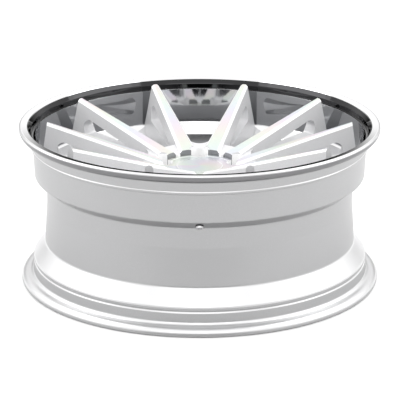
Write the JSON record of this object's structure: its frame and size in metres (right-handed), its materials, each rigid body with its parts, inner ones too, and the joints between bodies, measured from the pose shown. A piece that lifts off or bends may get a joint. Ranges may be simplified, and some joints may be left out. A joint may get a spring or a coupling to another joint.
{
  "type": "racing wheel rim",
  "caption": "Forged car wheel made of a step-lip rim barrel with a polished lip and a bolted centre of tall, windowed, bevelled straight spokes, with a centre cap and an air valve.",
  "frame": {"origin": "centre of the hub mounting face", "axes": "+Z along the wheel's axis, out of the outboard face; the air valve is on the -Y side"},
  "size_m": [0.543, 0.5428, 0.2414],
  "materials": {
    "barrel_finish": "satin silver outside, mirror polished lip",
    "centre_finish": "satin silver paint, machined spoke faces",
    "bolt_steel": "zinc plated",
    "washer_steel": "zinc plated",
    "seat_steel": "turned",
    "ring_aluminium": "anodised",
    "cap_face": "fine turned",
    "cap_paint": "satin silver",
    "spring_steel": "drawn wire",
    "black_rubber": "matte",
    "valve_metal": "turned",
    "core_brass": "turned",
    "cap_metal": "knurled, anodised"
  },
  "bodies": {
    "wheel": {"rim_barrel": "barrel_finish", "centre_hub": "centre_finish", "centre_spokes": "centre_finish", "centre_ring": "centre_finish", "assembly_bolts": "bolt_steel", "bolt_washers": "washer_steel", "lug_seat_inserts": "seat_steel", "hub_ring": "ring_aluminium", "valve_body": "valve_metal", "valve_seal": "black_rubber", "valve_washer": "valve_metal", "valve_nut": "valve_metal", "valve_core_barrel": "core_brass", "valve_core_spring": "spring_steel"},
    "centre_cap": {"cap_disc": "cap_face", "cap_body": "cap_paint", "cap_spring_ring": "spring_steel", "cap_seal": "black_rubber"},
    "valve_pin": {"valve_core_pin": "core_brass", "valve_core_seal": "black_rubber"},
    "valve_cap_seal": {"valve_cap_seal": "black_rubber"},
    "valve_cap": {"valve_cap": "cap_metal"}
  },
  "joints": [
    {"name": "centre_cap_pull", "type": "slide", "parent": "wheel", "child": "centre_cap", "axis": [0, 0, 1], "range_m": [0, 0.1]},
    {"name": "valve_pin_press", "type": "slide", "parent": "wheel", "child": "valve_pin", "axis": [0, -0.6034, -0.7974], "range_m": [0, 0.0012], "stiffness_N_per_m": 250, "springref_m": -0.002, "deforming": ["valve_core_spring"]},
    {"name": "valve_cap_lift", "type": "slide", "parent": "wheel", "child": "valve_cap_seal", "axis": [0, 0.6034, 0.7974], "range_m": [0, 0.0055]},
    {"name": "valve_cap_turn", "type": "hinge", "parent": "valve_cap_seal", "child": "valve_cap", "pos_m": [0, -0.23525, 0.01845], "axis": [0, 0.6034, 0.7974], "range_deg": [0, 2520]}
  ],
  "couplings": [
    {"joint": "valve_cap_turn", "follows": "valve_cap_lift", "rad_per_m": 7913.3}
  ]
}
